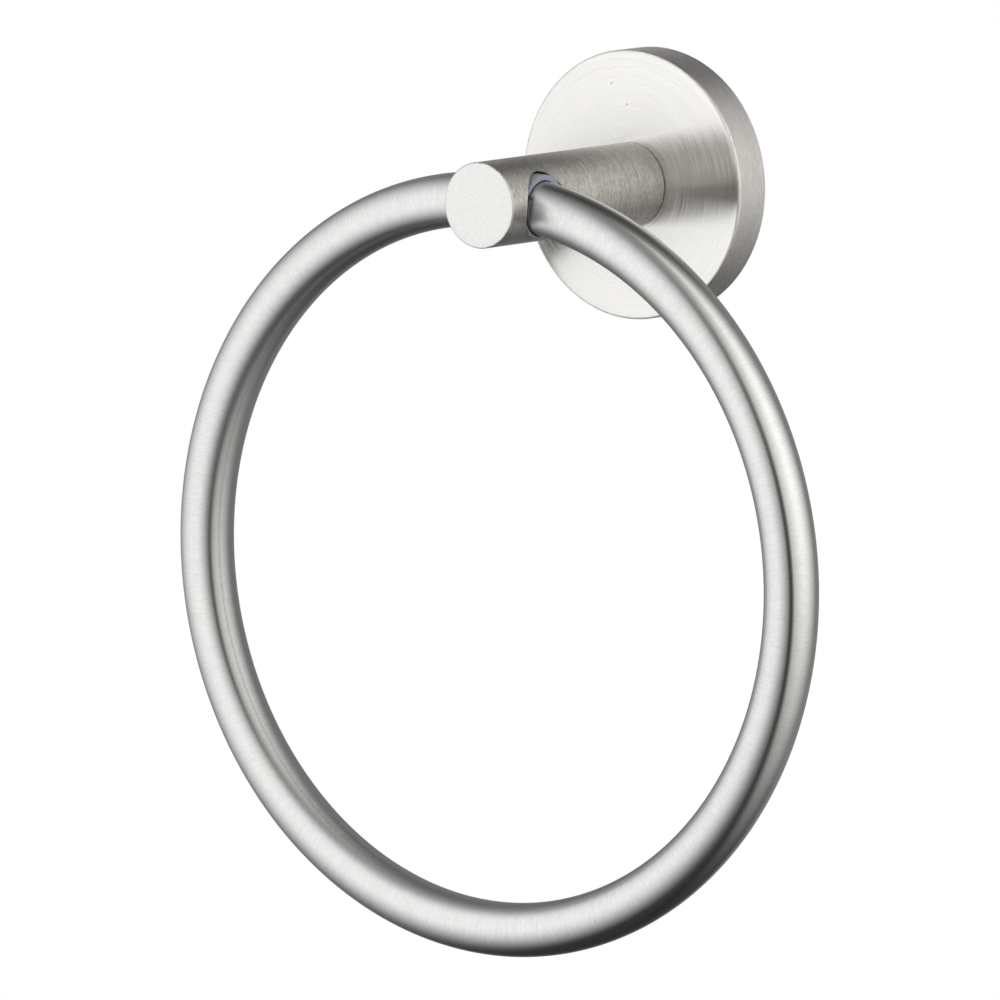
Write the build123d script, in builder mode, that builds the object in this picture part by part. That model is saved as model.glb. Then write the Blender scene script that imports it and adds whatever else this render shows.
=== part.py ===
from build123d import *
import os
from math import atan, cos, radians, tan

# Wall-mounted towel ring in brushed stainless steel.
# Millimetres. Origin at the centre of the rosette on the wall plane, +Y into the wall,
# the post stands out along -Y, +Z is up. "From the wall" below means a distance along -Y.

# Ring: round tube bent to a hoop, its two square-cut ends meet inside the post
ring_radius = 74.2
tube_dia = 11.0
tube_wall = 1.0

# Bush: slit nylon sleeve that grips both tube ends and turns in the post's cross hole
bush_wall = 0.85
bush_length = 15.0
bush_rib = 1.0
bush_slit = 1.0
bush_slit_tilt = 27.0
bush_grip = 0.05
bush_play = 0.25
bush_seat = 0.05

# Post: round bar with a cross hole for the ring near its free end
pivot_from_wall = 48.2
post_cheek = 2.05
post_nose = 4.85
post_end_chamfer = 0.3
hole_edge_chamfer = 0.25

# Rosette: turned round cover, hollow at the back
rosette_dia = 55.0
rosette_depth = 9.0
rosette_rim = 2.5
rosette_face = 2.0
rosette_edge_round = 0.5
rosette_back_chamfer = 0.3
rosette_corner_round = 0.8

# Post screw: button-head machine screw from inside the rosette into the post
screw_dia = 6.0
screw_engagement = 12.0
screw_tip_chamfer = 0.8
head_overhang = 2.25
head_height = 3.3
head_round = 1.8
head_socket = 4.0
head_socket_depth = 2.0
tap_run_out = 3.0
drill_point_angle = 118.0
thread_clearance = 0.05
screw_hole_clearance = 0.2

# Lock washer: split spring washer under the screw head
washer_width = 2.6
washer_thick = 1.6
washer_clearance = 0.1
washer_split = 0.8
washer_split_lean = 1.2

# Wall bracket: pressed steel dish, its flared lip is what the grub screw pulls on
bracket_sheet = 1.5
bracket_lip_gap = 0.3
bracket_lip_setback = 1.0
bracket_flare = 3.0
bracket_bend = 1.8
bracket_eye_gap = 1.75
slot_length = 7.0
slot_width = 5.0
slot_edge = 3.2

# Grub screw: cone-point set screw in the underside of the rosette's rim
grub_dia = 4.0
grub_sink = 0.4
grub_behind_lip = 2.4
grub_touch = 0.02
grub_socket = 2.0
grub_socket_depth = 1.6

# Fits that several pieces share
bore_dia = tube_dia + 2 * bush_grip
bush_dia = bore_dia + 2 * bush_wall
hole_dia = bush_dia + 2 * bush_play
post_dia = hole_dia + 2 * post_cheek
post_reach = pivot_from_wall + hole_dia / 2 + post_nose
pivot_drop = bush_play - bush_seat
ring_gap = bush_rib + 2 * bush_grip
ring_axis = Axis((0, -pivot_from_wall, -pivot_drop - ring_radius), (0, 1, 0))

rosette_radius = rosette_dia / 2
cavity_radius = rosette_radius - rosette_rim
cavity_depth = rosette_depth - rosette_face
washer_dia = screw_dia + 2 * washer_clearance + 2 * washer_width
head_dia = screw_dia + 2 * head_overhang
head_seat = cavity_depth - washer_thick
head_back = head_seat - head_height

lip_height = cavity_depth - bracket_lip_setback
lip_radius = cavity_radius - bracket_lip_gap
base_radius = lip_radius - bracket_flare
flare_angle = atan(bracket_flare / lip_height)
sheet_across = bracket_sheet / cos(flare_angle)
eye_radius = head_dia / 2 + bracket_eye_gap
slot_offset = base_radius - slot_edge - slot_length / 2
grub_from_wall = lip_height - grub_behind_lip
grub_tip = base_radius + grub_from_wall * tan(flare_angle) + grub_touch
grub_end = rosette_radius - grub_sink

os.makedirs("parts", exist_ok=True)

# The hoop: one length of tube swept round its own centre, opened at the top for the bush's rib
with BuildPart() as ring:
    with BuildSketch(Plane.YZ):
        with Locations((-pivot_from_wall, -pivot_drop)):
            Circle(tube_dia / 2)
            Circle(tube_dia / 2 - tube_wall, mode=Mode.SUBTRACT)
    revolve(axis=ring_axis)
    with BuildSketch(Plane.YZ):
        with Locations((-pivot_from_wall, -pivot_drop)):
            Circle(hole_dia / 2)
    extrude(amount=ring_gap / 2, both=True, mode=Mode.SUBTRACT)
ring.part.label = "ring"
export_step(ring.part, "parts/ring.step")

# The sleeve: straight outside, its bore follows the bend of the tube it grips.
# A rib at the middle keeps the two tube ends apart and the sleeve in the post.
with BuildPart() as bush:
    with BuildSketch(Plane.YZ):
        with Locations((-pivot_from_wall, -pivot_drop)):
            Circle(bush_dia / 2)
    extrude(amount=bush_length / 2, both=True)
    with BuildSketch(Plane.YZ):
        with Locations((-pivot_from_wall, -pivot_drop)):
            Circle(bore_dia / 2)
    revolve(axis=ring_axis, mode=Mode.SUBTRACT)
    with BuildSketch(Plane.YZ):
        with Locations((-pivot_from_wall, -pivot_drop)):
            Circle((bore_dia + bush_dia) / 4)
            Circle(tube_dia / 2 - tube_wall, mode=Mode.SUBTRACT)
    extrude(amount=bush_rib / 2, both=True)
    with BuildSketch(Plane.YZ):
        with Locations((-pivot_from_wall, -pivot_drop)):
            Rectangle(
                bush_dia,
                bush_slit,
                rotation=180 - bush_slit_tilt,
                align=(Align.MIN, Align.CENTER),
            )
    extrude(amount=bush_length, both=True, mode=Mode.SUBTRACT)
bush.part.label = "bush"
export_step(bush.part, "parts/bush.step")

# The post: bar stock, cross-drilled for the sleeve, tapped blind from the wall end
with BuildPart() as post:
    with BuildSketch(Plane.XZ.offset(rosette_depth)):
        Circle(post_dia / 2)
    extrude(amount=post_reach - rosette_depth)
    chamfer(post.faces().sort_by(Axis.Y)[0].edges(), post_end_chamfer)
    with BuildSketch(Plane.YZ):
        with Locations((-pivot_from_wall, 0)):
            Circle(hole_dia / 2)
    extrude(amount=post_dia, both=True, mode=Mode.SUBTRACT)
    bore_wall = post.faces().filter_by(GeomType.CYLINDER).sort_by(Axis.Y)[0]
    chamfer(bore_wall.edges().filter_by(GeomType.LINE, reverse=True), hole_edge_chamfer)
    tap_radius = screw_dia / 2 + thread_clearance
    tap_floor = rosette_depth + screw_engagement + tap_run_out
    tap_point = tap_floor + tap_radius / tan(radians(drill_point_angle / 2))
    with BuildSketch(Plane.XY):
        with BuildLine():
            Polyline(
                (0, -rosette_depth),
                (tap_radius, -rosette_depth),
                (tap_radius, -tap_floor),
                (0, -tap_point),
                close=True,
            )
        make_face()
    revolve(axis=Axis.Y, mode=Mode.SUBTRACT)
post.part.label = "post"
export_step(post.part, "parts/post.step")

# The rosette: one turned cup with a flat face, a straight rim and a sharp, just broken edge
with BuildPart() as rosette:
    with BuildSketch(Plane.XY):
        screw_hole = screw_dia / 2 + screw_hole_clearance
        with BuildLine():
            Polyline(
                (screw_hole, -rosette_depth),
                (rosette_radius, -rosette_depth),
                (rosette_radius, 0),
                (cavity_radius, 0),
                (cavity_radius, -cavity_depth),
                (screw_hole, -cavity_depth),
                close=True,
            )
        make_face()
    revolve(axis=Axis.Y)
    rims = rosette.edges().filter_by(GeomType.CIRCLE)
    fillet(rims.group_by(Axis.Y)[0].sort_by(SortBy.RADIUS)[-1], rosette_edge_round)
    rims = rosette.edges().filter_by(GeomType.CIRCLE)
    chamfer(rims.group_by(Axis.Y)[-1].sort_by(SortBy.RADIUS)[-1], rosette_back_chamfer)
    inner = rosette.faces().filter_by(GeomType.CYLINDER).sort_by(SortBy.AREA)[-2]
    fillet(inner.edges().filter_by(GeomType.CIRCLE).sort_by(Axis.Y)[0], rosette_corner_round)
    with BuildSketch(Plane.XY.offset(-rosette_radius)):
        with Locations((0, -grub_from_wall)):
            Circle(grub_dia / 2 + thread_clearance)
    extrude(amount=2 * rosette_rim, mode=Mode.SUBTRACT)
rosette.part.label = "rosette"
export_step(rosette.part, "parts/rosette.step")

# The screw that holds post and rosette together, with a hexagon socket facing the wall
with BuildPart() as post_screw:
    with BuildSketch(Plane.XZ.offset(head_back)):
        Circle(head_dia / 2)
    extrude(amount=head_height)
    fillet(post_screw.edges().group_by(Axis.Y)[-1], head_round)
    with BuildSketch(Plane.XZ.offset(head_seat)):
        Circle(screw_dia / 2)
    extrude(amount=rosette_depth + screw_engagement - head_seat)
    chamfer(post_screw.edges().group_by(Axis.Y)[0], screw_tip_chamfer)
    with BuildSketch(Plane.XZ.offset(head_back)):
        RegularPolygon(head_socket / 2, 6, major_radius=False)
    extrude(amount=head_socket_depth, mode=Mode.SUBTRACT)
post_screw.part.label = "post_screw"
export_step(post_screw.part, "parts/post_screw.step")

# The spring washer, cut through on a slant at the top
with BuildPart() as lock_washer:
    with BuildSketch(Plane.XZ.offset(head_seat)):
        Circle(washer_dia / 2)
        Circle(screw_dia / 2 + washer_clearance, mode=Mode.SUBTRACT)
    extrude(amount=washer_thick)
    with BuildSketch(Plane.XY):
        with BuildLine():
            Polyline(
                (-washer_split_lean / 2 - washer_split / 2, -head_seat),
                (-washer_split_lean / 2 + washer_split / 2, -head_seat),
                (washer_split_lean / 2 + washer_split / 2, -cavity_depth),
                (washer_split_lean / 2 - washer_split / 2, -cavity_depth),
                close=True,
            )
        make_face()
    extrude(amount=washer_dia, mode=Mode.SUBTRACT)
lock_washer.part.label = "lock_washer"
export_step(lock_washer.part, "parts/lock_washer.step")

# The wall bracket: a flat base with two slots and an eye, and a lip flared away from the wall
with BuildPart() as wall_bracket:
    with BuildSketch(Plane.XY):
        with BuildLine():
            Polyline(
                (eye_radius, 0),
                (base_radius, 0),
                (lip_radius, -lip_height),
                (lip_radius - sheet_across, -lip_height),
                (base_radius + bracket_sheet * tan(flare_angle) - sheet_across, -bracket_sheet),
                (eye_radius, -bracket_sheet),
                close=True,
            )
        make_face()
    revolve(axis=Axis.Y)
    back_rims = wall_bracket.edges().filter_by(GeomType.CIRCLE).group_by(Axis.Y)[-1]
    fillet(back_rims.sort_by(SortBy.RADIUS)[-1], bracket_bend)
    with BuildSketch(Plane.XZ):
        with Locations((-slot_offset, 0), (slot_offset, 0)):
            SlotOverall(slot_length, slot_width)
    extrude(amount=bracket_sheet, mode=Mode.SUBTRACT)
wall_bracket.part.label = "wall_bracket"
export_step(wall_bracket.part, "parts/wall_bracket.step")

# The grub screw: its cone bears on the flared lip and draws the rosette to the wall
with BuildPart() as grub_screw:
    with BuildSketch(Plane.XZ.offset(grub_from_wall)):
        with BuildLine():
            Polyline(
                (0, -grub_tip),
                (grub_dia / 2, -grub_tip - grub_dia / 2),
                (grub_dia / 2, -grub_end),
                (0, -grub_end),
                close=True,
            )
        make_face()
    revolve(axis=Axis((0, -grub_from_wall, 0), (0, 0, 1)))
    with BuildSketch(Plane.XY.offset(-grub_end)):
        with Locations((0, -grub_from_wall)):
            RegularPolygon(grub_socket / 2, 6, major_radius=False)
    extrude(amount=grub_socket_depth, mode=Mode.SUBTRACT)
grub_screw.part.label = "grub_screw"
export_step(grub_screw.part, "parts/grub_screw.step")
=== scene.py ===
import bmesh
import bpy
import numpy as np
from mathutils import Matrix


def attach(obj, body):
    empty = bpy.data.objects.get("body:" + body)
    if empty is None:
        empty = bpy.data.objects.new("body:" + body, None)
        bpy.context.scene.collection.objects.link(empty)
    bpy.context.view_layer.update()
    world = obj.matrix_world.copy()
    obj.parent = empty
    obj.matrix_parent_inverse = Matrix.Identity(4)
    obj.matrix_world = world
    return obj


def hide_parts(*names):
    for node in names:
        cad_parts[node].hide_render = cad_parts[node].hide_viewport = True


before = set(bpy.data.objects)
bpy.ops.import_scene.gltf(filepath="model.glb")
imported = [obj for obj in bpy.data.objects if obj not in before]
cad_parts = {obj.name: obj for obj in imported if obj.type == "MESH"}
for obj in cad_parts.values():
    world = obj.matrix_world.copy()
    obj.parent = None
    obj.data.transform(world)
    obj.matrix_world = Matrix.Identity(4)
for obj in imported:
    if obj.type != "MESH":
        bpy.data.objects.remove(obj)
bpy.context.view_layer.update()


# Wall bracket
# A dish of 1.5 mm mild steel, blanked, pressed and zinc plated in one lot with
# many others. Two screws through its slots hold it flat on the wall, and its
# turned-out lip is what the rosette is pulled on to.

def linear(hex_colour):
    """An sRGB hex colour as the linear red, green, blue and alpha of a node."""
    srgb = np.array([int(hex_colour[k:k + 2], 16) for k in (1, 3, 5)]) / 255
    low, high = srgb / 12.92, ((srgb + 0.055) / 1.055) ** 2.4
    return (*np.where(srgb <= 0.04045, low, high), 1.0)


def add(tree, kind, inputs=None, **settings):
    """Adds one node. Settings are the node's own properties; inputs give each
    socket, by name or number, a plain value or the output that feeds it."""
    made = tree.nodes.new(kind)
    for name, value in settings.items():
        setattr(made, name, value)
    for socket, value in (inputs or {}).items():
        if isinstance(value, bpy.types.NodeSocket):
            tree.links.new(value, made.inputs[socket])
        else:
            made.inputs[socket].default_value = value
    return made


def new_material(name):
    """A material with its node tree and its one shader."""
    made = bpy.data.materials.new(name)
    made.use_nodes = True
    return made, made.node_tree, made.node_tree.nodes["Principled BSDF"]


# Zinc plate on pressed steel: a cool bright grey, clouded in patches of a few
# millimetres where the plating took unevenly, and dulled by fine handling marks.
zinc, tree, shader = new_material("zinc_plated_pressed_steel")
zinc_light, zinc_dull = "#c3c7cb", "#a0a5ab"
zinc_smooth, zinc_rough = 0.42, 0.60
cloud_mm, mark_mm, mark_deep_mm, mark_strength = 4.0, 0.5, 0.03, 0.3
place = add(tree, "ShaderNodeTexCoord").outputs["Object"]
cloud = add(tree, "ShaderNodeTexNoise", {
    "Vector": place, "Scale": 1000 / cloud_mm, "Detail": 3, "Roughness": 0.6})
marks = add(tree, "ShaderNodeTexNoise", {
    "Vector": place, "Scale": 1000 / mark_mm, "Detail": 2})
colour = add(tree, "ShaderNodeMix", {
    0: cloud.outputs["Fac"], 6: linear(zinc_dull), 7: linear(zinc_light)},
    data_type="RGBA")
dull = add(tree, "ShaderNodeMapRange", {
    "Value": marks.outputs["Fac"], "To Min": zinc_smooth, "To Max": zinc_rough})
dents = add(tree, "ShaderNodeBump", {
    "Height": marks.outputs["Fac"], "Strength": mark_strength,
    "Distance": mark_deep_mm / 1000})
tree.links.new(colour.outputs[2], shader.inputs["Base Color"])
tree.links.new(dull.outputs[0], shader.inputs["Roughness"])
tree.links.new(dents.outputs[0], shader.inputs["Normal"])
shader.inputs["Metallic"].default_value = 1.0
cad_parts["wall_bracket"].material_slots[0].material = zinc


# Rosette
# The round cover over the bracket, turned from stainless steel bar: a flat
# face, a straight rim and a hollow back. It was brushed while it spun in the
# lathe, so every line on it runs round the middle.

rosette_r, rosette_depth = 27.5, 9.0
cavity_r, cavity_depth = 25.0, 7.0
screw_hole_r = 3.2
edge_round, back_chamfer, corner_round = 0.5, 0.3, 0.8
grub_hole_r, grub_y = 2.05, -3.6
window_low, window_high = -6.1, -1.1
round_steps, window_steps = 192, 8


def joined(*parts):
    """Grids of single numbers, spread to one shape, as one grid of points."""
    return np.stack(np.broadcast_arrays(*parts), -1)


def arc(middle, radius, start, end, steps):
    """Points on a circle's arc, from one angle to another in equal steps."""
    angle = np.radians(np.linspace(start, end, steps + 1))
    return joined(middle[0] + radius * np.cos(angle),
                  middle[1] + radius * np.sin(angle))


def line(start, end, steps):
    """Points on a straight line, from one end to the other in equal steps."""
    share = np.linspace(0, 1, steps + 1)[:, None]
    return np.array(start) * (1 - share) + np.array(end) * share


def spun(profile, angle):
    """A profile of (radius, y) turned about Y. The angle is counted from
    straight down: x is the radius times its sine, z minus radius times cosine.
    A point that repeats the one before it is left out. The brush grid is the
    length along the profile, and the arc round it."""
    shortest = 1e-9
    moves_on = np.linalg.norm(np.diff(profile, axis=0), axis=1) > shortest
    profile = np.concatenate([profile[:1], profile[1:][moves_on]])
    radius, y = profile[:, :1], profile[:, 1:]
    points = joined(radius * np.sin(angle), y, -radius * np.cos(angle))
    step = np.linalg.norm(np.diff(profile, axis=0), axis=1)
    across = np.concatenate([[0], np.cumsum(step)])[:, None]
    return points, joined(across, radius.max() * angle)


def between(first, second, steps):
    """Rows of points that lead straight from one row to another."""
    share = np.linspace(0, 1, steps + 1)[:, None, None]
    return first * (1 - share) + second * share


def closed_piece(name, surfaces, finishes, sharp_degrees=28, meet_within=1e-6):
    """One closed mesh from grids of points in millimetres. Each surface is its
    points, its brush grid and the number of its finish. Four neighbours in a
    grid make a face; points that meet are merged, which closes the seams and
    poles, and the faces are then turned outward."""
    points, brush, faces, finish = [], [], [], []
    used = 0
    for grid, lines, number in surfaces:
        at = used + np.arange(grid[..., 0].size).reshape(grid.shape[:2])
        quads = np.stack([at[:-1, :-1], at[1:, :-1], at[1:, 1:], at[:-1, 1:]],
                         -1).reshape(-1, 4)
        points.append(grid.reshape(-1, 3))
        brush.append(np.broadcast_to(lines, (*grid.shape[:2], 2)).reshape(-1, 2))
        faces.append(quads)
        finish.append(np.full(len(quads), number))
        used += at.size
    points, brush = np.concatenate(points), np.concatenate(brush)
    faces, finish = np.concatenate(faces), np.concatenate(finish)
    mesh = bpy.data.meshes.new(name)
    mesh.from_pydata(points / 1000, [], faces)
    mesh.uv_layers.new(name="brush").data.foreach_set(
        "uv", brush[faces.ravel()].ravel())
    mesh.polygons.foreach_set("material_index", finish)
    shell = bmesh.new()
    shell.from_mesh(mesh)
    bmesh.ops.remove_doubles(shell, verts=shell.verts, dist=meet_within)
    bmesh.ops.recalc_face_normals(shell, faces=shell.faces)
    shell.to_mesh(mesh)
    shell.free()
    mesh.shade_smooth()
    mesh.set_sharp_from_angle(angle=np.radians(sharp_degrees))
    for each in finishes:
        mesh.materials.append(each)
    made = bpy.data.objects.new(name, mesh)
    bpy.context.scene.collection.objects.link(made)
    return made


def brushed_steel(name, light, dark, widths_mm, runs_mm, rough, drawn, groove_mm,
                  smoother=0.06):
    """Steel with brush lines. The piece's own map gives the distance across
    the lines, so noise that changes quickly with it and slowly with the place
    in space makes streaks as wide and as long as asked. The streaks shade the
    colour, tilt the surface a little and change the roughness: the light ones
    are smoother by the share asked. Light is drawn out across the lines, along
    the map's first direction."""
    broad_share, groove_strength = 0.25, 0.6
    usual_low, usual_high = 0.3, 0.7
    made, tree, shader = new_material(name)
    place = add(tree, "ShaderNodeTexCoord").outputs["Object"]
    lines = add(tree, "ShaderNodeUVMap", uv_map="brush").outputs["UV"]
    across = add(tree, "ShaderNodeSeparateXYZ", {0: lines}).outputs["X"]
    streaks = []
    for width, run in zip(widths_mm, runs_mm):
        slow = add(tree, "ShaderNodeVectorMath", {0: place, "Scale": 1000 / run},
                   operation="SCALE").outputs[0]
        quick = add(tree, "ShaderNodeMath", {0: across, 1: 1 / width},
                    operation="MULTIPLY").outputs[0]
        streaks.append(add(tree, "ShaderNodeTexNoise", {
            "Vector": slow, "W": quick, "Scale": 1.0, "Detail": 1},
            noise_dimensions="4D").outputs["Fac"])
    both = add(tree, "ShaderNodeMix", {
        0: broad_share, 2: streaks[0], 3: streaks[1]}).outputs[0]
    spread = add(tree, "ShaderNodeMapRange", {
        "Value": both, "From Min": usual_low, "From Max": usual_high}).outputs[0]
    colour = add(tree, "ShaderNodeMix", {
        0: spread, 6: linear(dark), 7: linear(light)}, data_type="RGBA").outputs[2]
    dull = add(tree, "ShaderNodeMapRange", {
        "Value": spread, "To Min": (1 + smoother) * rough,
        "To Max": (1 - smoother) * rough}).outputs[0]
    groove = add(tree, "ShaderNodeBump", {
        "Height": both, "Strength": groove_strength,
        "Distance": groove_mm / 1000}).outputs[0]
    drawn_along = add(tree, "ShaderNodeTangent", direction_type="UV_MAP",
                      uv_map="brush").outputs[0]
    for socket, output in (("Base Color", colour), ("Roughness", dull),
                           ("Normal", groove), ("Tangent", drawn_along)):
        tree.links.new(output, shader.inputs[socket])
    shader.inputs["Metallic"].default_value = 1.0
    shader.inputs["Anisotropic"].default_value = drawn
    return made


# Stainless steel, brushed while it turned: a neutral, slightly warm grey. The
# lines scatter light across themselves far more than along, so bright and dark
# reflections are drawn out in bands, with fine streaks along the lines. Real
# grit lines are near 0.03 mm, too fine to show, so these are drawn coarser.
brushed = brushed_steel("stainless_steel_brushed", "#ebe9e6", "#cbc8c4",
                        (0.22, 0.9), (1.2, 9.0), rough=0.38, drawn=0.85,
                        groove_mm=0.006)

# The face is brushed last and finest, so it mirrors the post in a soft wedge.
# Its light streaks are the rougher ones, and show in the wedge.
spun_face = brushed_steel("stainless_steel_spun_face", "#e3e2df", "#cecdc9",
                          (0.34, 0.9), (9.0, 40.0), rough=0.205, drawn=1.0,
                          groove_mm=0.0003, smoother=-0.25)


def toned(material, share, tone):
    """Multiplies a material's colour by a tone, fully where the share is 1."""
    tree = material.node_tree
    colour = tree.nodes["Principled BSDF"].inputs["Base Color"]
    tree.links.new(add(tree, "ShaderNodeMix", {
        0: share, 6: colour.links[0].from_socket, 7: linear(tone)},
        data_type="RGBA", blend_type="MULTIPLY").outputs[2], colour)


# Two small pits in the bar's metal were opened by the turning of the face.
pits = ((-6.25, 20.07), (-2.04, 16.26))
pit_core_r, pit_r, pit_tone = 0.128, 0.32, "#c9c4bd"
for pit_x, pit_z in pits:
    tree = spun_face.node_tree
    place = add(tree, "ShaderNodeTexCoord").outputs["Object"]
    away = add(tree, "ShaderNodeVectorMath", {
        0: place, 1: np.array([pit_x, -rosette_depth, pit_z]) / 1000},
        operation="DISTANCE").outputs["Value"]
    toned(spun_face, add(tree, "ShaderNodeMapRange", {
        "Value": away, "From Min": pit_core_r / 1000, "From Max": pit_r / 1000,
        "To Min": 1.0, "To Max": 0.0}).outputs[0], pit_tone)

# The section is cut where the grub screw's hole breaks through the rim: front
# and back strips turn all the way round, the rim between leaves a window.
rim_profile = np.concatenate([
    line((rosette_r, window_low), (rosette_r, -rosette_depth + edge_round), 3),
    arc((rosette_r - edge_round, -rosette_depth + edge_round), edge_round, 0, -90, 6)])
face_profile = line((rosette_r - edge_round, -rosette_depth),
                    (screw_hole_r, -rosette_depth), 16)
cavity_profile = np.concatenate([
    line((screw_hole_r, -rosette_depth), (screw_hole_r, -cavity_depth), 2),
    line((screw_hole_r, -cavity_depth), (cavity_r - corner_round, -cavity_depth), 12),
    arc((cavity_r - corner_round, -cavity_depth + corner_round), corner_round, -90, 0, 6),
    line((cavity_r, -cavity_depth + corner_round), (cavity_r, window_low), 1)])
back_profile = np.concatenate([
    line((cavity_r, window_high), (cavity_r, 0), 1),
    line((cavity_r, 0), (rosette_r - back_chamfer, 0), 2),
    line((rosette_r - back_chamfer, 0), (rosette_r, -back_chamfer), 1),
    line((rosette_r, -back_chamfer), (rosette_r, window_high), 1)])
half_window = np.pi * window_steps / round_steps
all_round = half_window + np.linspace(0, 2 * np.pi, round_steps + 1)[None, :]
past_window = np.linspace(half_window, 2 * np.pi - half_window,
                          round_steps - window_steps + 1)[None, :]
surfaces = [(*spun(profile, all_round), number) for profile, number in (
    (rim_profile, 0), (face_profile, 1), (cavity_profile, 0), (back_profile, 0))]


def window_edge(half_width, low, high, steps):
    """The outline of a rectangle, side by side in equal steps, back to where
    it starts: rows of (width, height)."""
    corners = [(-half_width, low), (half_width, low), (half_width, high),
               (-half_width, high), (-half_width, low)]
    sides = [line(corners[k], corners[k + 1], steps)[:-1] for k in range(4)]
    return np.concatenate([*sides, [corners[0]]])


rim_of_hole = []
for wall_r in (rosette_r, cavity_r):
    wall = line((wall_r, window_low), (wall_r, window_high), window_steps)
    surfaces.append((*spun(wall, past_window), 0))
    frame_edge = window_edge(half_window, window_low, window_high, window_steps)
    aim = np.arctan2(frame_edge[:, 0] * wall_r, frame_edge[:, 1] - grub_y)
    hole_edge = joined(np.arcsin(grub_hole_r * np.sin(aim) / wall_r),
                       grub_y + grub_hole_r * np.cos(aim))
    patch = between(frame_edge, hole_edge, 4)
    angle, y = patch[..., 0], patch[..., 1]
    points = joined(wall_r * np.sin(angle), y, -wall_r * np.cos(angle))
    surfaces.append((points, joined(y, wall_r * angle), 0))
    rim_of_hole.append(points[-1])
bore = between(rim_of_hole[0], rim_of_hole[1], 3)
surfaces.append((bore, joined(bore[..., 2], bore[..., 0]), 0))
rosette = closed_piece("rosette_cover", surfaces, [brushed, spun_face])
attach(rosette, "fixture")
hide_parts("rosette")


# Post screw and its lock washer
# A button-head screw of zinc plated steel goes through the rosette from behind,
# over a split spring washer, and draws the post tight against the face.

# Zinc plate on turned and rolled steel: bright, a little blue, with the fine grain of the plating
# and a duller tone in patches of a few millimetres.
screw_zinc, tree, shader = new_material("zinc_plated_screw_steel")
bright_zinc, grey_zinc = "#b9bdc2", "#8d9298"
screw_smooth, screw_rough = 0.25, 0.45
grain_mm, tone_mm = 0.35, 2.5
place = add(tree, "ShaderNodeTexCoord").outputs["Object"]
grain = add(tree, "ShaderNodeTexNoise", {
    "Vector": place, "Scale": 1000 / grain_mm, "Detail": 2})
tone = add(tree, "ShaderNodeTexNoise", {
    "Vector": place, "Scale": 1000 / tone_mm, "Detail": 2})
colour = add(tree, "ShaderNodeMix", {
    0: tone.outputs["Fac"], 6: linear(grey_zinc), 7: linear(bright_zinc)},
    data_type="RGBA")
rough = add(tree, "ShaderNodeMapRange", {
    "Value": grain.outputs["Fac"], "To Min": screw_smooth, "To Max": screw_rough})
tree.links.new(colour.outputs[2], shader.inputs["Base Color"])
tree.links.new(rough.outputs[0], shader.inputs["Roughness"])
shader.inputs["Metallic"].default_value = 1.0
for name in ("post_screw", "lock_washer"):
    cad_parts[name].material_slots[0].material = screw_zinc


# Post
# A length of round stainless bar that stands out of the rosette. It is cross
# drilled near its free end for the ring, the hole's edges are broken with a
# small chamfer, and the side is brushed round and round like the rosette.

post_r, post_back, post_front = 8.7, -9.0, -59.7
end_round = 0.3
root_rise, root_depth = 0.3, 0.6
pivot_y, hole_r, hole_chamfer = -48.2, 6.65, 0.25
tapped_r, tapped_end, drill_point = 3.05, -24.0, 118.0
side_steps, patch_rows, shank_rows = 48, 14, 12
window_back = 2 * pivot_y - (post_front + end_round)

# Stainless bar end, linished flat on a belt: the same steel, but its short
# scratches cross each other, so it shines back evenly with a faint slant.
linished, tree, shader = new_material("stainless_steel_linished")
end_light, end_dark = "#e3e3e2", "#c9c9c7"
end_rough, end_smooth = 0.46, 0.40
belt_mm, belt_run_mm, belt_slant = 0.28, 0.7, 50.0
belt_deep_mm, belt_strength = 0.008, 0.4
place = add(tree, "ShaderNodeTexCoord").outputs["Object"]
belt = add(tree, "ShaderNodeMapping", {
    "Vector": place, "Rotation": (0, np.radians(belt_slant), 0),
    "Scale": (1000 / belt_run_mm, 1000 / belt_mm, 1000 / belt_mm)})
scratch = add(tree, "ShaderNodeTexNoise", {
    "Vector": belt.outputs[0], "Scale": 1.0, "Detail": 3}).outputs["Fac"]
colour = add(tree, "ShaderNodeMix", {
    0: scratch, 6: linear(end_dark), 7: linear(end_light)}, data_type="RGBA")
rough = add(tree, "ShaderNodeMapRange", {
    "Value": scratch, "To Min": end_rough, "To Max": end_smooth}).outputs[0]
tree.links.new(colour.outputs[2], shader.inputs["Base Color"])
tree.links.new(rough, shader.inputs["Roughness"])
tree.links.new(add(tree, "ShaderNodeBump", {
    "Height": scratch, "Strength": belt_strength,
    "Distance": belt_deep_mm / 1000}).outputs[0], shader.inputs["Normal"])
shader.inputs["Metallic"].default_value = 1.0

# The bar's side was brushed with a coarser grit, in short strokes, and is
# darker than the rosette for it.
brushed_bar = brushed_steel("stainless_steel_brushed_bar", "#e2dfda", "#a09c96",
                            (0.2, 0.9), (0.9, 9.0), rough=0.38, drawn=0.85,
                            groove_mm=0.006)


def on_bar(side, arc_length, y):
    """A point on the bar's round side: x is the radius times the cosine of
    arc / radius, towards one side or the other, and z its sine."""
    angle = arc_length / post_r
    return joined(side * post_r * np.cos(angle), y, post_r * np.sin(angle))


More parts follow.
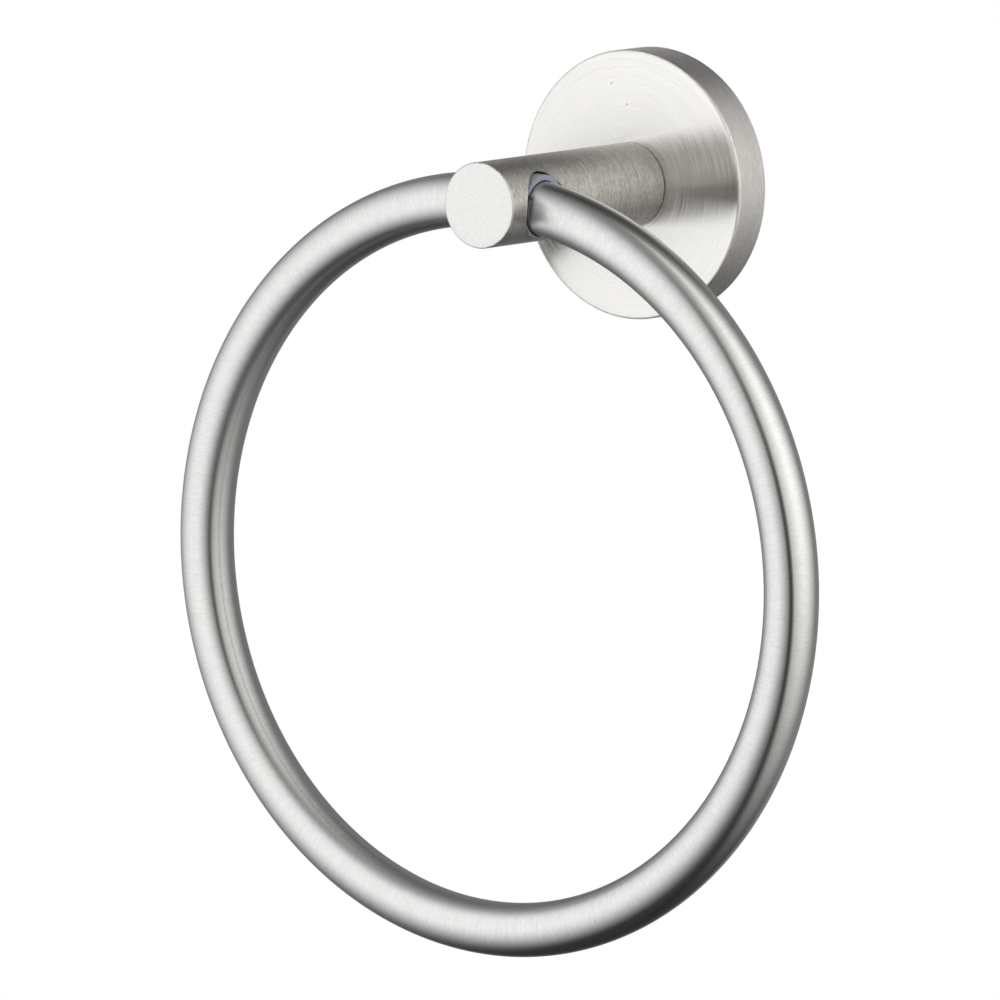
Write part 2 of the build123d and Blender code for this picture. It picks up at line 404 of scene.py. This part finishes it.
quarter = post_r * np.pi / 2
frame_edge = window_edge(quarter, post_front + end_round, window_back, side_steps)
aim = np.arctan2(frame_edge[:, 0], frame_edge[:, 1] - pivot_y)
hole_z = hole_r * np.sin(aim)
lean = np.sqrt(1 - (hole_z / post_r) ** 2)
rim = joined(post_r * np.arcsin(hole_z / post_r), pivot_y + hole_r * np.cos(aim))
outward = joined(np.sin(aim), np.cos(aim) / lean)
outward /= np.linalg.norm(outward, axis=1, keepdims=True)
patch = between(frame_edge, rim + hole_chamfer * outward, patch_rows)
half_round = np.linspace(-quarter, quarter, side_steps + 1)[None, :]
shank_y = np.linspace(window_back, post_back - root_rise, shank_rows + 1)[:, None]
end_profile = arc((post_r - end_round, post_front + end_round), end_round, 0, -90, 4)
face_profile = line((post_r - end_round, post_front), (0, post_front), 8)
back_profile = np.concatenate([
    line((post_r, post_back - root_rise), (post_r - root_depth, post_back), 1),
    line((post_r - root_depth, post_back), (tapped_r, post_back), 3),
    line((tapped_r, post_back), (tapped_r, tapped_end), 6),
    line((tapped_r, tapped_end),
         (0, tapped_end - tapped_r / np.tan(np.radians(drill_point / 2))), 3)])
surfaces, wall_rims = [], []
for side in (1, -1):
    skin = on_bar(side, patch[..., 0], patch[..., 1])
    surfaces.append((skin, patch[..., ::-1], 0))
    shank = on_bar(side, half_round, shank_y)
    surfaces.append((shank, joined(shank_y, half_round), 0))
    wall_rim = joined(side * (post_r * lean - hole_chamfer),
                      pivot_y + hole_r * np.cos(aim), hole_z)
    chamfer = between(skin[-1], wall_rim, 1)
    surfaces.append((chamfer, patch[-2:, :, ::-1], 0))
    wall_rims.append(wall_rim)
    turn = side * (np.pi / 2 + half_round / post_r)
    for profile, number in ((end_profile, 0), (face_profile, 1), (back_profile, 0)):
        surfaces.append((*spun(profile, turn), number))
wall = between(*wall_rims, 12)
surfaces.append((wall, joined(wall[..., 0], hole_r * aim), 0))
post = closed_piece("post_bar", surfaces, [brushed_bar, linished])
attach(post, "fixture")
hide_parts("post")


# Bush
# A slit sleeve of unfilled nylon, moulded a little blue-grey. It is sprung on
# to the tube, turns with the ring in the post's hole, and a rib inside it
# stands between the two ends of the tube.

bush_r, bush_half, bush_z = 6.4, 7.5, -0.2
bore_r, rib_half, rib_r = 5.55, 0.5, 4.5
mouth_r, mouth_shift, mouth_deep = 5.75, -0.2, 2.5
slit_half, slit_aim = 0.5, 153.0
hoop_r, hoop_z = 74.2, -74.4
around_steps, long_steps, rib_steps = 96, 13, 2

# Moulded nylon: milky blue-grey, lets some light in, with a soft waxy shine
# and the faint mottle of the mould's spark-eroded wall.
nylon, tree, shader = new_material("nylon_moulded")
nylon_pale, nylon_deep = "#9fa8b3", "#87919e"
nylon_smooth, nylon_rough, nylon_ior = 0.38, 0.50, 1.53
mottle_mm, mottle_deep_mm, mottle_strength = 0.6, 0.02, 0.3
let_in, let_in_mm = 0.25, (0.8, 0.9, 1.0)
place = add(tree, "ShaderNodeTexCoord").outputs["Object"]
mottle = add(tree, "ShaderNodeTexNoise", {
    "Vector": place, "Scale": 1000 / mottle_mm, "Detail": 3}).outputs["Fac"]
colour = add(tree, "ShaderNodeMix", {
    0: mottle, 6: linear(nylon_deep), 7: linear(nylon_pale)}, data_type="RGBA")
rough = add(tree, "ShaderNodeMapRange", {
    "Value": mottle, "To Min": nylon_smooth, "To Max": nylon_rough}).outputs[0]
tree.links.new(colour.outputs[2], shader.inputs["Base Color"])
tree.links.new(rough, shader.inputs["Roughness"])
tree.links.new(add(tree, "ShaderNodeBump", {
    "Height": mottle, "Strength": mottle_strength,
    "Distance": mottle_deep_mm / 1000}).outputs[0], shader.inputs["Normal"])
shader.inputs["IOR"].default_value = nylon_ior
shader.inputs["Subsurface Weight"].default_value = let_in
shader.inputs["Subsurface Radius"].default_value = let_in_mm
shader.inputs["Subsurface Scale"].default_value = 1 / 1000


def sleeve(x, radius, follow, shift):
    """A surface round the bush's axis, which runs along X. The angle goes from
    one face of the slit round to the other, so that the slit's two faces stay
    parallel. Where it follows the tube, its middle drops by the hoop's sag,
    the hoop's radius less the root of radius squared less x squared. The
    shift moves its middle along Y."""
    x, radius, follow, shift = [each[:, None] for each in (x, radius, follow, shift)]
    cut = np.arcsin(slit_half / radius)
    share = np.linspace(0, 1, around_steps + 1)[None, :]
    angle = np.radians(slit_aim) + cut + share * (2 * np.pi - 2 * cut)
    sag = follow * (hoop_r - np.sqrt(hoop_r ** 2 - x ** 2))
    return joined(x, pivot_y + shift + radius * np.cos(angle),
                  bush_z + radius * np.sin(angle) - sag)


bore_x = np.concatenate([np.linspace(-bush_half, -rib_half, long_steps + 1),
                         np.linspace(-rib_half, rib_half, rib_steps + 1),
                         np.linspace(rib_half, bush_half, long_steps + 1)])
on_tube = np.repeat([1.0, 0.0, 1.0], [long_steps + 1, rib_steps + 1, long_steps + 1])
long_x = np.linspace(-bush_half, bush_half, len(bore_x))
outer = sleeve(long_x, bush_r + 0 * long_x, 0 * long_x, 0 * long_x)
mouth = np.clip(1 - (bush_half - np.abs(bore_x)) / mouth_deep, 0, 1)
bore_radius = rib_r + (bore_r - rib_r) * on_tube + (mouth_r - bore_r) * mouth
inner = sleeve(bore_x, bore_radius, on_tube, mouth_shift * mouth)
surfaces = [(outer, outer[..., ::2], 0), (inner, inner[..., ::2], 0)]
for end in (0, -1):
    face = between(outer[end], inner[end], 3)
    surfaces.append((face, face[..., 1:], 0))
    cheek = between(outer[:, end], inner[:, end], 3)
    surfaces.append((cheek, cheek[..., :2], 0))
bush = closed_piece("bush_sleeve", surfaces, [nylon])
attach(bush, "swing_ring")
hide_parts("bush")


# Ring
# A hoop of 11 mm stainless tube, bent round and cut square so that its ends
# meet inside the bush. It was brushed with a belt drawn round the tube, so its
# lines run across it, and it hangs from the post by its own weight.

tube_r, tube_bore_r, end_gap = 5.5, 4.5, 0.55
hoop_steps, tube_steps, lining_every = 360, 72, 4
end_turn = np.arcsin(end_gap / hoop_r)

# Stainless tube, satin finished with a fine belt: a neutral grey whose bands of
# light and dark are crisper than the rosette's, under a very fine cross grain.
satin = brushed_steel("stainless_steel_satin", "#d4d4d3", "#c8c8c7",
                      (0.2, 1.2), (1.2, 12.0), rough=0.235, drawn=0.88,
                      groove_mm=0.001)

# The belt doesn't reach the inside of the hoop as well, so there the tube stays rougher. Its
# colour is darkened there too, as painted shade on the side of the tube that faces the hoop's
# middle. The map's second direction is the arc round the tube.
inside_painted_shade, inside_rougher = "#eceded", 0.12
inside_start, inside_full = -0.50, -0.85
tree = satin.node_tree
round_tube = add(tree, "ShaderNodeSeparateXYZ", {
    0: add(tree, "ShaderNodeUVMap", uv_map="brush").outputs["UV"]}).outputs["Y"]
facing_out = add(tree, "ShaderNodeMath", {
    0: add(tree, "ShaderNodeMath", {0: round_tube, 1: 1 / tube_r},
           operation="MULTIPLY").outputs[0]}, operation="COSINE").outputs[0]
inside_shade_and_rough = add(tree, "ShaderNodeMapRange", {
    "Value": facing_out, "From Min": inside_start, "From Max": inside_full},
    interpolation_type="SMOOTHSTEP").outputs[0]
# Painted shade: the tube's colour is darkened on the inside of the hoop.
toned(satin, inside_shade_and_rough, inside_painted_shade)
dull = tree.nodes["Principled BSDF"].inputs["Roughness"]
tree.links.new(add(tree, "ShaderNodeMath", {
    0: inside_shade_and_rough, 1: inside_rougher, 2: dull.links[0].from_socket},
    operation="MULTIPLY_ADD").outputs[0], dull)


def hoop(turn, about, radius):
    """A tube bent to a hoop in the XZ plane: a point lies at the hoop's radius
    plus the tube's radius times cos(about) from the hoop's middle, and the
    tube's radius times sin(about) along Y. Turn is counted from the top."""
    reach = hoop_r + radius * np.cos(about)
    points = joined(reach * np.sin(turn), pivot_y + radius * np.sin(about),
                    hoop_z + reach * np.cos(turn))
    return points, joined(hoop_r * turn, radius * about)


about = np.linspace(0, 2 * np.pi, tube_steps + 1)[None, :]
turn = np.linspace(end_turn, 2 * np.pi - end_turn, hoop_steps + 1)[:, None]
inner_turn = turn[::lining_every]
skin, skin_lines = hoop(turn, about, tube_r)
lining, lining_lines = hoop(inner_turn, about, tube_bore_r)
surfaces = [(skin, skin_lines, 0), (lining, lining_lines, 0)]
for end in (0, -1):
    cut_face = between(skin[end], lining[end], 1)
    surfaces.append((cut_face, cut_face[..., 1:], 0))
ring = closed_piece("ring_hoop", surfaces, [satin])
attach(ring, "swing_ring")
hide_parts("ring")


# Grub screw
# The cone-pointed set screw under the rim, turned in last with a small hex key.
# Its point runs up the bracket's lip and pulls the rosette tight to the wall.

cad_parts["grub_screw"].material_slots[0].material = screw_zinc


# Studio
# The part hangs at its height above a pale floor, in a tent of white cloth that glows
# brightest in a patch on each side, as if a lamp shone through it there. A black strip hangs
# where the lens looks in, and is the dark line in the metal.

floor_z, floor_half = -1.30, 12.0
floor_pale, floor_rough = "#e9e9e9", 0.9
set_middle = np.array([0.0, -0.03, -0.06])


def stage_sheet(name, points, material):
    """A sheet of the set from a grid of points in metres."""
    at = np.arange(points[..., 0].size).reshape(points.shape[:2])
    quads = np.stack([at[:-1, :-1], at[1:, :-1], at[1:, 1:], at[:-1, 1:]],
                     -1).reshape(-1, 4)
    mesh = bpy.data.meshes.new(name)
    mesh.from_pydata(points.reshape(-1, 3), [], quads)
    mesh.materials.append(material)
    mesh.shade_smooth()
    made = bpy.data.objects.new(name, mesh)
    bpy.context.scene.collection.objects.link(made)
    return made


def seen_straight(tree):
    """1 for what the lens sees, straight or in a shine or through glass."""
    path = add(tree, "ShaderNodeLightPath").outputs
    either = add(tree, "ShaderNodeMath", {
        0: path["Is Camera Ray"], 1: path["Is Glossy Ray"]}, operation="MAXIMUM")
    return add(tree, "ShaderNodeMath", {
        0: either.outputs[0], 1: path["Is Transmission Ray"]},
        operation="MAXIMUM").outputs[0]


# Painted board, plain and pale; what looks at it straight sees it as white, and
# from below it isn't there.
board, tree, shader = new_material("floor_painted_board")
shader.inputs["Base Color"].default_value = linear(floor_pale)
shader.inputs["Roughness"].default_value = floor_rough
white = add(tree, "ShaderNodeEmission", {"Color": (1, 1, 1, 1), "Strength": 1.0})
show = add(tree, "ShaderNodeMixShader", {
    0: seen_straight(tree), 1: shader.outputs[0], 2: white.outputs[0]})
one_sided = add(tree, "ShaderNodeMixShader", {
    0: add(tree, "ShaderNodeNewGeometry").outputs["Backfacing"], 1: show.outputs[0],
    2: add(tree, "ShaderNodeBsdfTransparent").outputs[0]})
tree.links.new(one_sided.outputs[0], tree.nodes["Material Output"].inputs["Surface"])
reach = np.linspace(-floor_half, floor_half, 3)
stage_sheet("floor", joined(reach[:, None], reach[None, :], floor_z), board)

# The room is white where it is looked at, and adds a little light all round.
room_fill, room_seen = 0.3, 1.0
world = bpy.data.worlds.new("studio_white")
bpy.context.scene.world = world
world.use_nodes = True
tree = world.node_tree
level = add(tree, "ShaderNodeMapRange", {
    "Value": seen_straight(tree), "To Min": room_fill, "To Max": room_seen}).outputs[0]
tree.links.new(level, tree.nodes["Background"].inputs["Strength"])
tree.nodes["Background"].inputs["Color"].default_value = (1, 1, 1, 1)


def rise(value, start, length):
    """A smooth step from 0 at the start to 1 a length further on."""
    share = np.clip((value - start) / length, 0, 1)
    return share * share * (3 - 2 * share)


# White cloth that glows in patches, as if lit from outside. A patch is given by its left, right,
# lower and upper edges in degrees, seen from the part, the length of the fade inward
# from each, the light it gives at its middle and that light's colour. Azimuth
# runs from the front towards +X.
tent_r, tent_columns, tent_rows = 0.6, 180, 90
patches = (((-147, 57, 111, 76), (-83, 104, 79, 86), 1.41, "#ffffff"),
           ((-9, 182, 118, 107), (-78, 153, 106, 123), 1.88, "#fffefb"))
cloth_back, cloth_dark = 0.29, 0.04
low_edge, high_edge, edge_fade = -30, 34, 25
azimuth = np.linspace(-180, 180, tent_columns + 1)[:, None]
height = np.linspace(-90, 90, tent_rows + 1)[None, :]
glow = cloth_dark + (cloth_back - cloth_dark) * (
    rise(-height, -high_edge - edge_fade, edge_fade)
    * rise(height, low_edge - edge_fade, edge_fade)) + 0 * azimuth
glow = glow[..., None] * np.ones(4)
for sides, ends, top, colour in patches:
    left, right, left_fade, right_fade = sides
    low, high, low_fade, high_fade = ends
    patch = np.maximum(
        rise(azimuth, left, left_fade) * rise(-azimuth, -right, right_fade),
        rise(azimuth + 360, left, left_fade) * rise(-azimuth - 360, -right, right_fade))
    patch = top * patch * rise(height, low, low_fade) * rise(-height, -high, high_fade)
    glow = np.maximum(glow, patch[..., None] * np.array(linear(colour)))
turned, raised = np.radians(azimuth), np.radians(height)
towards = joined(np.sin(turned) * np.cos(raised), -np.cos(turned) * np.cos(raised),
                 np.sin(raised))
tent_cloth, tree, shader = new_material("tent_white_cloth")
tree.nodes.remove(shader)
lit = add(tree, "ShaderNodeEmission", {
    "Color": add(tree, "ShaderNodeAttribute", attribute_name="glow").outputs["Color"]})
tree.links.new(lit.outputs[0], tree.nodes["Material Output"].inputs["Surface"])
tent = stage_sheet("light_tent", set_middle + tent_r * towards, tent_cloth)
tent.data.attributes.new("glow", "FLOAT_COLOR", "POINT").data.foreach_set(
    "color", glow.ravel())
tent.visible_camera = False
tent.visible_shadow = False

# A strip of black cloth hangs along the tent where the lens looks in, bent round
# the part and a little aslant; its ends are in degrees, from level in front. It
# is thinned out along its edges, so that the dark line has soft sides.
strip_turn, strip_slant = np.radians([41.1, 13.2])
strip_r, strip_half, strip_fade = 0.474, 0.025, 0.070
strip_low, strip_high, strip_low_fade, strip_high_fade = -118.8, 117.0, 48.0, 140.0
strip_columns, strip_rows = 40, 120
strip_out = np.array([np.sin(strip_turn), -np.cos(strip_turn), 0])
strip_level = np.array([np.cos(strip_turn), np.sin(strip_turn), 0])
strip_up = np.array([0, 0, np.cos(strip_slant)]) - np.sin(strip_slant) * strip_level
strip_across = np.cross(strip_up, strip_out)
strip_edge = strip_half + strip_fade
sideways = np.linspace(-strip_edge, strip_edge, strip_columns + 1)[:, None]
bend = np.linspace(strip_low, strip_high, strip_rows + 1)[None, :]
solid = (rise(-np.abs(sideways), -strip_edge, strip_fade)
         * rise(bend, strip_low, strip_low_fade) * rise(-bend, -strip_high, strip_high_fade))
bent = np.radians(bend)[..., None]
black_cloth, tree, shader = new_material("strip_black_cloth")
shader.inputs["Base Color"].default_value = linear("#000000")
shader.inputs["Specular IOR Level"].default_value = 0.0
tree.links.new(add(tree, "ShaderNodeAttribute", attribute_name="solid").outputs["Fac"],
               shader.inputs["Alpha"])
strip = stage_sheet("black_strip", set_middle + sideways[..., None] * strip_across
                    + strip_r * (np.cos(bent) * strip_out + np.sin(bent) * strip_up), black_cloth)
strip.data.attributes.new("solid", "FLOAT", "POINT").data.foreach_set("value", solid.ravel())
strip.visible_camera = False
strip.visible_shadow = False

# The camera looks from the front right and a little above, with a long lens.
view_turn, view_lift, view_roll = np.radians([36.948, 9.747, 3.090])
view_far, lens_mm, sensor_mm = 2.4444, 436.17, 36.0
aim_at = np.array([0.0, -0.045833, -0.061111])
aim_shift = (-0.000932, -0.000166)
back = np.array([np.sin(view_turn) * np.cos(view_lift),
                 -np.cos(view_turn) * np.cos(view_lift), np.sin(view_lift)])
right = np.cross((0, 0, 1), back)
right /= np.linalg.norm(right)
up = np.cross(back, right)
right, up = (right * np.cos(view_roll) + up * np.sin(view_roll),
             up * np.cos(view_roll) - right * np.sin(view_roll))
lens = bpy.data.cameras.new("camera")
lens.lens, lens.sensor_width = lens_mm, sensor_mm
camera = bpy.data.objects.new("camera", lens)
bpy.context.scene.collection.objects.link(camera)
placed = np.eye(4)
placed[:3, :3] = np.stack([right, up, back], -1)
placed[:3, 3] = aim_at + aim_shift[0] * right + aim_shift[1] * up + view_far * back
camera.matrix_world = placed.T.tolist()
bpy.context.scene.camera = camera
bpy.context.scene.view_settings.view_transform = "Standard"
